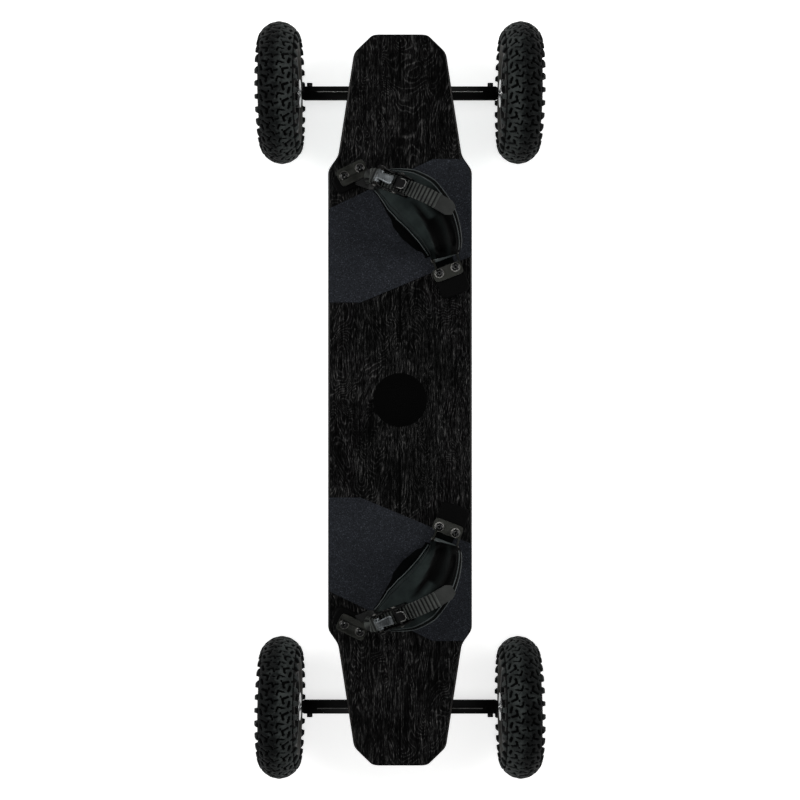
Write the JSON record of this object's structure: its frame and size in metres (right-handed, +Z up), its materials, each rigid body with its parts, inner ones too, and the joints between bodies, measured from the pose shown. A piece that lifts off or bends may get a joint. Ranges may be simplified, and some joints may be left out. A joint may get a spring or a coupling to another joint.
{
  "type": "mountainboard",
  "caption": "Mountainboard with a tapered wooden deck, lean-to-steer trucks, knobbly pneumatic wheels and ratchet foot bindings.",
  "frame": {"origin": "on the ground under the middle of the deck", "axes": "+Z up, +Y towards the nose along the deck, +X towards the hinge side of the front binding"},
  "size_m": [0.404, 1.0798, 0.2449],
  "materials": {
    "deck": "black-stained ash, satin lacquer",
    "grip": "coarse dark navy-grey grit",
    "truck_metal": "black semi-gloss",
    "black_steel": "black satin",
    "steel": "bright",
    "urethane": "black satin",
    "tyre": "matt black rubber",
    "inner_tube": "matt",
    "hub": "black",
    "base_rubber": "matt black",
    "bracket": "dark grey satin",
    "strap": "dark grey-green, stitched, with piping",
    "ladder": "grey",
    "buckle": "black",
    "lever": "worn silver grey"
  },
  "bodies": {
    "board": {"deck": "deck", "baseplate_front": "truck_metal", "pivot_cup_front": "urethane", "board_bushing_front": "urethane", "road_bushing_front": "urethane", "kingpin_front": "steel", "kingpin_nut_front": "black_steel", "baseplate_rear": "truck_metal", "pivot_cup_rear": "urethane", "board_bushing_rear": "urethane", "road_bushing_rear": "urethane", "kingpin_rear": "steel", "kingpin_nut_rear": "black_steel", "hinge_base_front": "base_rubber", "hinge_bracket_front": "bracket", "ratchet_base_front": "base_rubber", "ratchet_bracket_front": "bracket", "strap_pad_front": "strap", "ladder_strap_front": "ladder", "buckle_frame_front": "buckle", "hinge_base_rear": "base_rubber", "hinge_bracket_rear": "bracket", "ratchet_base_rear": "base_rubber", "ratchet_bracket_rear": "bracket", "strap_pad_rear": "strap", "ladder_strap_rear": "ladder", "buckle_frame_rear": "buckle", "grip_pad_front": "grip", "grip_pad_rear": "grip"},
    "hanger_front": {"hanger_front": "truck_metal", "axle_front_right": "steel", "axle_front_left": "steel"},
    "wheel_front_right": {"tyre_front_right": "tyre", "inner_tube_front_right": "inner_tube", "hub_inner_front_right": "hub", "hub_outer_front_right": "hub", "bearing_set_front_right": "steel"},
    "wheel_front_left": {"tyre_front_left": "tyre", "inner_tube_front_left": "inner_tube", "hub_inner_front_left": "hub", "hub_outer_front_left": "hub", "bearing_set_front_left": "steel"},
    "buckle_lever_front": {"buckle_lever_front": "lever"},
    "release_lever_front": {"release_lever_front": "buckle"},
    "hanger_rear": {"hanger_rear": "truck_metal", "axle_rear_right": "steel", "axle_rear_left": "steel"},
    "wheel_rear_right": {"tyre_rear_right": "tyre", "inner_tube_rear_right": "inner_tube", "hub_inner_rear_right": "hub", "hub_outer_rear_right": "hub", "bearing_set_rear_right": "steel"},
    "wheel_rear_left": {"tyre_rear_left": "tyre", "inner_tube_rear_left": "inner_tube", "hub_inner_rear_left": "hub", "hub_outer_rear_left": "hub", "bearing_set_rear_left": "steel"},
    "buckle_lever_rear": {"buckle_lever_rear": "lever"},
    "release_lever_rear": {"release_lever_rear": "buckle"}
  },
  "joints": [
    {"name": "steer_front", "type": "hinge", "parent": "board", "child": "hanger_front", "pos_m": [0, 0.42104, 0.11995], "axis": [0, 0.8324, 0.5542], "range_deg": [-12, 12], "stiffness_Nm_per_rad": 80, "deforming": ["board_bushing_front", "road_bushing_front"]},
    {"name": "spin_front_right", "type": "hinge", "parent": "hanger_front", "child": "wheel_front_right", "pos_m": [0.171, 0.44, 0.09994], "axis": [1, 0, 0], "continuous": true},
    {"name": "spin_front_left", "type": "hinge", "parent": "hanger_front", "child": "wheel_front_left", "pos_m": [-0.171, 0.44, 0.09994], "axis": [1, 0, 0], "continuous": true},
    {"name": "ratchet_pump_front", "type": "hinge", "parent": "board", "child": "buckle_lever_front", "pos_m": [-0.028, 0.30086, 0.21774], "axis": [-0.4226, -0.9063, 0], "range_deg": [0, 70], "stiffness_Nm_per_rad": 0.03, "springref_deg": -22.92},
    {"name": "ratchet_release_front", "type": "hinge", "parent": "board", "child": "release_lever_front", "pos_m": [-0.00232, 0.28888, 0.23262], "axis": [0.4226, 0.9063, 0], "range_deg": [0, 20], "stiffness_Nm_per_rad": 0.05, "springref_deg": -17.19},
    {"name": "steer_rear", "type": "hinge", "parent": "board", "child": "hanger_rear", "pos_m": [0, -0.42104, 0.11995], "axis": [0, -0.8324, 0.5542], "range_deg": [-12, 12], "stiffness_Nm_per_rad": 80, "deforming": ["board_bushing_rear", "road_bushing_rear"]},
    {"name": "spin_rear_right", "type": "hinge", "parent": "hanger_rear", "child": "wheel_rear_right", "pos_m": [-0.171, -0.44, 0.09994], "axis": [1, 0, 0], "continuous": true},
    {"name": "spin_rear_left", "type": "hinge", "parent": "hanger_rear", "child": "wheel_rear_left", "pos_m": [0.171, -0.44, 0.09994], "axis": [1, 0, 0], "continuous": true},
    {"name": "ratchet_pump_rear", "type": "hinge", "parent": "board", "child": "buckle_lever_rear", "pos_m": [-0.028, -0.30086, 0.21774], "axis": [0.4226, -0.9063, 0], "range_deg": [0, 70], "stiffness_Nm_per_rad": 0.03, "springref_deg": -22.92},
    {"name": "ratchet_release_rear", "type": "hinge", "parent": "board", "child": "release_lever_rear", "pos_m": [-0.00232, -0.28888, 0.23262], "axis": [-0.4226, 0.9063, 0], "range_deg": [0, 20], "stiffness_Nm_per_rad": 0.05, "springref_deg": -17.19}
  ]
}
